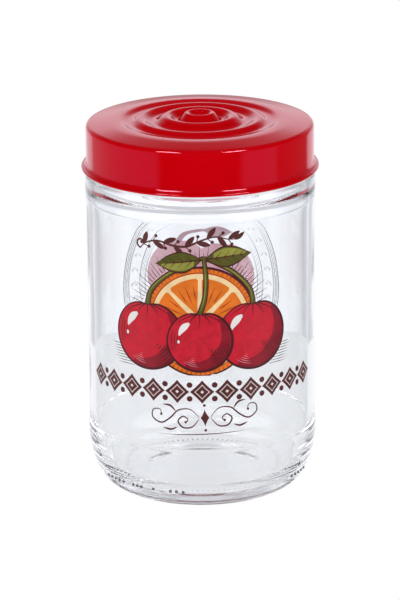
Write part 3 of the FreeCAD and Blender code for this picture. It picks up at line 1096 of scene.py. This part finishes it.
# %% Floor
def glowing(name, colour):
    material = bpy.data.materials.new(name)
    material.use_nodes = True
    nodes = material.node_tree.nodes
    nodes.clear()
    glow = nodes.new("ShaderNodeEmission")
    glow.inputs["Color"].default_value = (*colour, 1)
    material.node_tree.links.new(glow.outputs["Emission"],
                                 nodes.new("ShaderNodeOutputMaterial").inputs["Surface"])
    return material


select_none()
bpy.ops.mesh.primitive_plane_add(size=8)
floor = bpy.context.object
floor.name = "floor"
floor.data.materials.append(glowing("table_white", (1, 1, 1)))
floor.visible_glossy = False
floor.visible_transmission = False

select_none()
bpy.ops.mesh.primitive_circle_add(vertices=128, radius=0.196, fill_type="NGON",
                                  location=(0, 0, -0.1 * MM))
plate = bpy.context.object
plate.name = "floor_plate"
plate.data.materials.append(glowing("plate_grey", (0.84, 0.85, 0.87)))
plate.visible_camera = False
plate.visible_glossy = False
plate.visible_diffuse = False

# %% World
world = bpy.data.worlds.new("studio")
bpy.context.scene.world = world
world.use_nodes = True
tree = world.node_tree
tree.nodes.clear()


def node(kind, **values):
    made = tree.nodes.new(kind)
    for name, value in values.items():
        setattr(made, name, value)
    return made


def joined(source, target):
    tree.links.new(source, target)


def math_node(operation, *inputs):
    made = node("ShaderNodeMath", operation=operation)
    for socket, value in zip(made.inputs, inputs):
        if isinstance(value, (int, float)):
            socket.default_value = value
        else:
            joined(value, socket)
    return made.outputs[0]


def times(first, second):
    return math_node("MULTIPLY", first, second)


def smooth(value, *limits):
    return mapped(tree, value, *limits, "SMOOTHSTEP")


way = node("ShaderNodeTexCoord").outputs["Generated"]
parts = node("ShaderNodeSeparateXYZ")
joined(way, parts.inputs[0])
x, y, z = parts.outputs

# Which way a direction faces: 1 to the wall behind the jar, -1 to the lens.
turn = math_node("ARCTAN2", y, x)
facing = math_node("SINE", turn)

# What mirrors see.  Low: the lit wall and table end behind, grey cards at the sides, and black
# round the lens.  Higher: the wall's brightest band, then a ceiling that fades to the sides.
right_back = times(smooth(x, 0.3, 0.6, 0.0, 1.0), smooth(facing, -0.2, -0.05, 0.0, 0.32))
cards = math_node("SUBTRACT", smooth(facing, -0.8, -0.68, 0.0, 0.45), right_back)
behind = times(smooth(facing, 0.68, 0.8, 0.0, 1.1), smooth(facing, 0.985, 0.998, 1.0, 0.35))
low = math_node("MAXIMUM", cards, behind)
ahead = math_node("MAXIMUM", facing, 0.0)
band = math_node("ADD", times(math_node("POWER", ahead, 8.0), 1.1), 0.15)
ceiling = times(math_node("POWER", ahead, 2.0), smooth(z, 0.42, 0.54, 0.32, 0.07))


def blended(amount, first, second):
    made = node("ShaderNodeMix", data_type="FLOAT")
    for socket, value in ((0, amount), (2, first), (3, second)):
        if isinstance(value, (int, float)):
            made.inputs[socket].default_value = value
        else:
            joined(value, made.inputs[socket])
    return made.outputs[0]


mirror = blended(smooth(z, 0.0, 0.18, 0.0, 1.0), low, band)
mirror = blended(smooth(z, 0.30, 0.44, 0.0, 1.0), mirror, ceiling)
mirror = times(mirror, smooth(z, -0.6, -0.4, 0.3, 1.0))

# What is seen through the glass: white, darker up high, with eight grey cards, each halfway
# between two views 45 degrees apart.  They draw its edges and seal.  A wide light in front, just
# over the table, reaches the inside of the jar and the backs of the print.
dimmed = math_node("MINIMUM", smooth(z, -0.12, 0.08, 1.0, 0.7), smooth(z, -0.9, -0.5, 0.85, 1.0))
stripes = smooth(math_node("COSINE", times(turn, 8.0)), -0.6, 0.45, 0.5, 0.0)
level = math_node("MINIMUM", smooth(z, -0.55, -0.4, 0.3, 1.0), smooth(z, -0.2, -0.05, 1.0, 0.5))
through = times(dimmed, math_node("SUBTRACT", 1.0, times(stripes, level)))
front_box = times(smooth(z, 0.02, 0.14, 0.0, 1.0), smooth(facing, -0.2, 0.2, 2.6, 0.0))
through = math_node("ADD", through, front_box)

MATT_LIGHT, BACKDROP = 0.6, 1.03
rays = node("ShaderNodeLightPath")
strength = MATT_LIGHT
for ray, value in (("Is Glossy Ray", mirror), ("Is Transmission Ray", through),
                   ("Is Camera Ray", BACKDROP)):
    strength = blended(rays.outputs[ray], strength, value)
sky = node("ShaderNodeBackground")
sky.inputs["Color"].default_value = (0.985, 1.0, 1.05, 1)
joined(strength, sky.inputs["Strength"])
joined(sky.outputs[0], node("ShaderNodeOutputWorld").inputs["Surface"])


# %% Lights
def area_light(name, azimuth, elevation, width, height, power):
    """A rectangular light that faces the jar; azimuth runs to the right of the camera."""
    data = bpy.data.lights.new(name, "AREA")
    data.shape = "RECTANGLE"
    data.size, data.size_y = width, height
    data.energy = power
    light = bpy.data.objects.new(name, data)
    bpy.context.scene.collection.objects.link(light)
    azimuth, elevation = math.radians(azimuth), math.radians(elevation)
    direction = Vector((math.sin(azimuth) * math.cos(elevation),
                        -math.cos(azimuth) * math.cos(elevation), math.sin(elevation)))
    light.location = LOOK_AT + direction * LIGHT_DISTANCE
    light.rotation_euler = direction.to_track_quat("Z", "Y").to_euler()
    return light


LIGHT_DISTANCE = 1.5
KEY = (42, 0.6, 0.8, 3.4)                          # elevation, width, height and power
SOFTBOX = (49, 0.46, 0.42, 18.0)
SOFTBOX_COLOUR = (1.0, 1.0, 0.6)                   # a warm gel, so the highlights stay rosy
flagged = bpy.data.collections.new("lid_only")     # black flags keep softboxes off the glass
flagged.objects.link(lid_cap)
for side, azimuth in (("left", -39), ("right", 42)):
    key = area_light("key_" + side, azimuth, *KEY)
    key.visible_glossy = False
    softbox = area_light("softbox_" + side, azimuth, *SOFTBOX)
    softbox.data.color = SOFTBOX_COLOUR
    softbox.visible_diffuse = False
    softbox.light_linking.receiver_collection = flagged

scene = bpy.context.scene
scene.view_settings.view_transform = "Standard"
scene.cycles.max_bounces = 24
scene.cycles.glossy_bounces = 16
scene.cycles.transmission_bounces = 20
